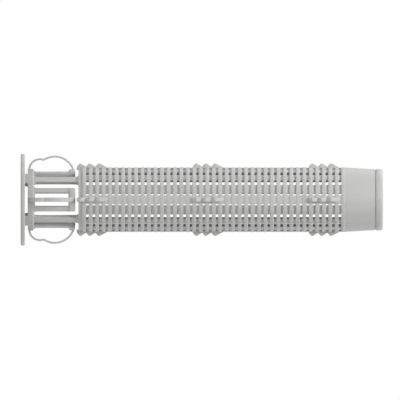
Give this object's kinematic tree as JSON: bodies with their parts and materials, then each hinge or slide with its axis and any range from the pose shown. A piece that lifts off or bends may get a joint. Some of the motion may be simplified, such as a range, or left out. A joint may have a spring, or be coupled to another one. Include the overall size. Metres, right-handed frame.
{
  "type": "injection mesh sleeve",
  "caption": "Plastic mesh sleeve for injected mortar: flanged open mouth, springy bowed wings in the collar, barbed net wall and a closed, tapered tip.",
  "frame": {"origin": "centre of the flange's outer face, on which the sleeve stands mouth down", "axes": "+Z along the sleeve, from the flange to the closed tip; +X and +Y each run through a wing and a row of barbs"},
  "size_m": [0.0216, 0.0216, 0.085],
  "materials": {
    "sleeve_plastic": "satin as moulded, pale natural grey"
  },
  "bodies": {
    "root": {"mesh_sleeve": "sleeve_plastic"}
  },
  "joints": []
}
